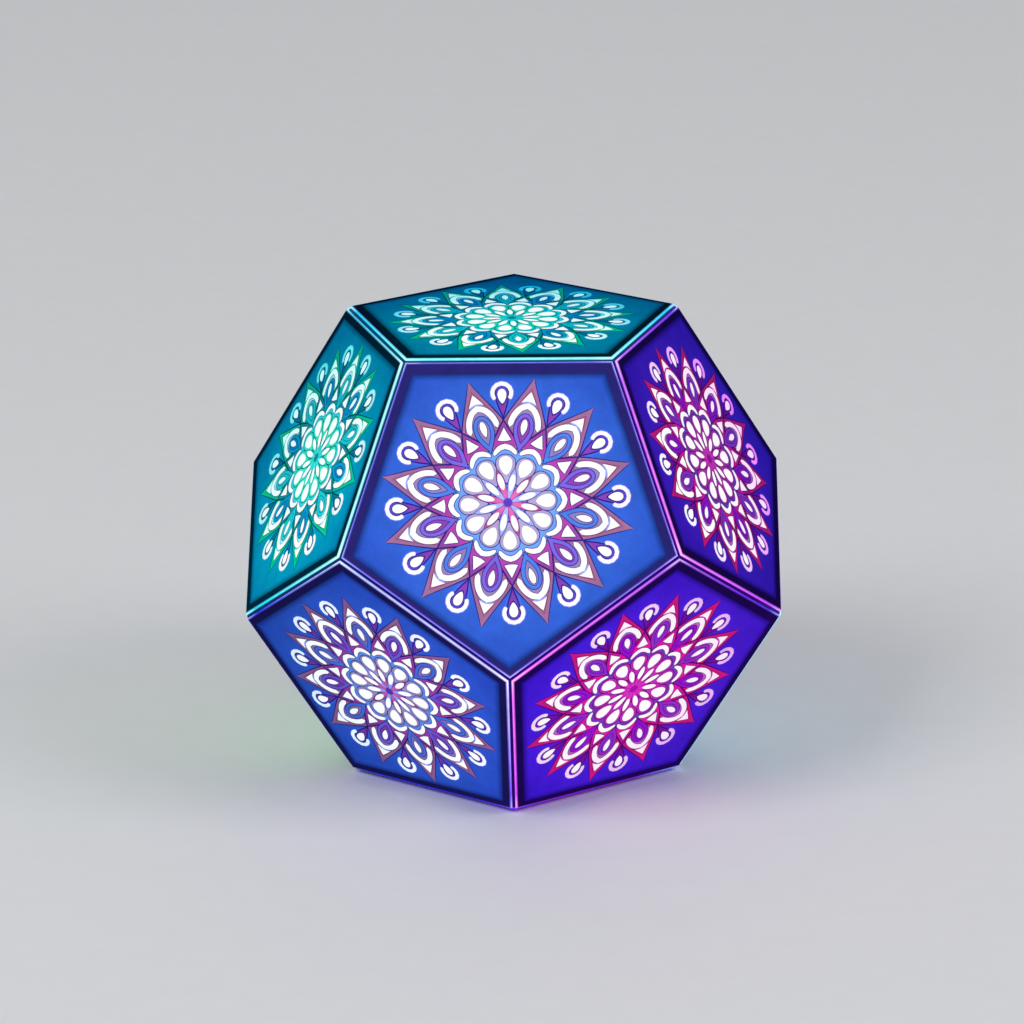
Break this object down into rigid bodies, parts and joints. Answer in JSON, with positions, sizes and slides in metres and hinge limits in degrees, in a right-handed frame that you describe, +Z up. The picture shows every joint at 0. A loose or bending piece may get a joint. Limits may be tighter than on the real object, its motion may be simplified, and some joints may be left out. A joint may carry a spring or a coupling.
{
  "type": "dodecahedron lantern",
  "caption": "Table lantern shaped as a regular dodecahedron, with ornamented light panels on a black skeleton, resting on a base face that holds a push button and a charging socket.",
  "frame": {"origin": "on the table under the centre of the lantern, in the plane of the feet", "axes": "+Z up, -Y out of the front upper face, +X to the right seen from the front"},
  "size_m": [0.1584, 0.1666, 0.1366],
  "materials": {
    "frame_black": "moulded gloss black",
    "plate_cyan": "clear plate printed in cyan, lit from behind",
    "plate_blue": "clear plate printed in blue, lit from behind",
    "plate_violet": "clear plate printed in violet, lit from behind",
    "plate_green": "clear plate printed in green, lit from behind",
    "opal": "opal diffusing sheet",
    "base_clear": "clear plate with a dark back print",
    "tray_black": "moulded matt black",
    "steel": "plated steel",
    "rubber": "matt rubber",
    "button_grey": "satin grey",
    "board_green": "solder mask",
    "pouch": "laminated pouch",
    "housing_white": "moulded matt white",
    "tower_aluminium": "extruded, satin",
    "led": "white board with light-emitting diodes"
  },
  "bodies": {
    "root": {"upper_frame": "frame_black", "lower_frame": "frame_black", "mandala_plate_top": "plate_cyan", "mandala_plate_front": "plate_blue", "mandala_plate_right": "plate_violet", "mandala_plate_back_right": "plate_blue", "mandala_plate_back_left": "plate_cyan", "mandala_plate_left": "plate_cyan", "mandala_plate_low_right": "plate_violet", "mandala_plate_low_far_right": "plate_blue", "mandala_plate_low_back": "plate_violet", "mandala_plate_low_far_left": "plate_green", "mandala_plate_low_left": "plate_blue", "opal_sheet_top": "opal", "opal_sheet_front": "opal", "opal_sheet_right": "opal", "opal_sheet_back_right": "opal", "opal_sheet_back_left": "opal", "opal_sheet_left": "opal", "opal_sheet_low_right": "opal", "opal_sheet_low_far_right": "opal", "opal_sheet_low_back": "opal", "opal_sheet_low_far_left": "opal", "opal_sheet_low_left": "opal", "base_plate": "base_clear", "base_tray": "tray_black", "base_screw_1": "steel", "base_screw_2": "steel", "base_screw_3": "steel", "base_screw_4": "steel", "base_screw_5": "steel", "foot_1": "rubber", "foot_2": "rubber", "foot_3": "rubber", "foot_4": "rubber", "foot_5": "rubber", "power_switch": "tray_black", "charging_socket": "steel", "circuit_board": "board_green", "battery_pack": "pouch", "electronics_housing": "housing_white", "light_tower": "tower_aluminium", "led_strip_1": "led", "led_strip_2": "led", "led_strip_3": "led", "led_strip_4": "led", "led_strip_5": "led", "led_top": "led"},
    "button": {"power_button": "button_grey"}
  },
  "joints": [
    {"name": "button_press", "type": "slide", "parent": "root", "child": "button", "axis": [0, 0, 1], "range_m": [0, 0.0008], "stiffness_N_per_m": 1500}
  ]
}
